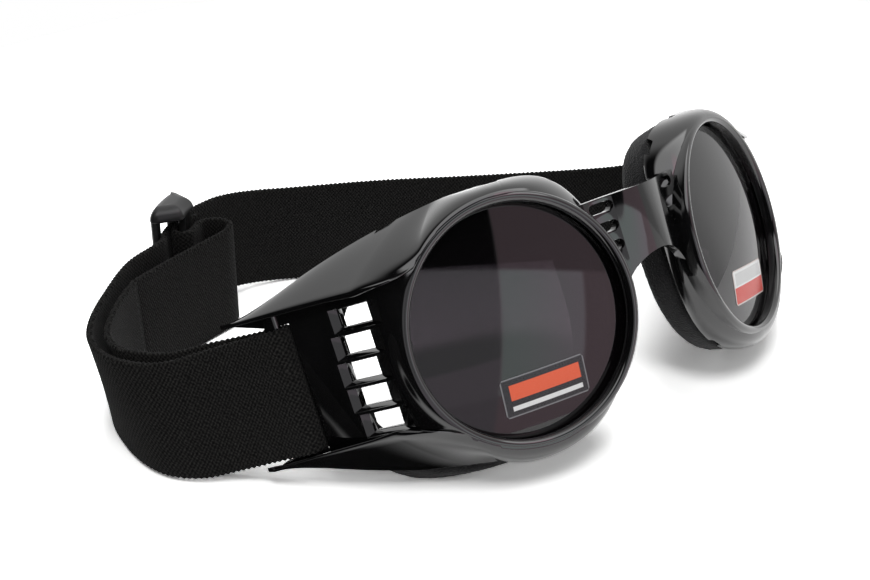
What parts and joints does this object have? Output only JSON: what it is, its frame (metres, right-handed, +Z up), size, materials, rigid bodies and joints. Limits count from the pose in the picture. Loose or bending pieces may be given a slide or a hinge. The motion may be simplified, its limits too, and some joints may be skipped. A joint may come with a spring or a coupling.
{
  "type": "wrap-around sunglasses goggles",
  "caption": "Wrap-around eyecup sunglasses with a moulded vented frame, dark domed lenses, foam padding and an elastic head strap with a slider.",
  "frame": {"origin": "middle of the whole object's box in X and Y, on the table that it lies on", "axes": "+Z up from the table, +X towards the wearer's left, -Y to the front of the glasses"},
  "size_m": [0.1901, 0.1309, 0.0628],
  "materials": {
    "frame_plastic": "gloss",
    "lens": "gloss",
    "foam": "matte",
    "elastic": "matte",
    "slider_plastic": "satin"
  },
  "bodies": {
    "goggles": {"frame": "frame_plastic", "lens_right": "lens", "lens_left": "lens", "padding_right": "foam", "padding_left": "foam", "strap": "elastic"},
    "strap_slider": {"slider": "slider_plastic", "strap_tail": "elastic"}
  },
  "joints": [
    {"name": "slider_travel", "type": "hinge", "parent": "goggles", "child": "strap_slider", "pos_m": [-0.0256, 0.0252, 0.018], "axis": [0, 0, 1], "range_deg": [-18, 2], "deforming": ["strap_tail"]}
  ]
}
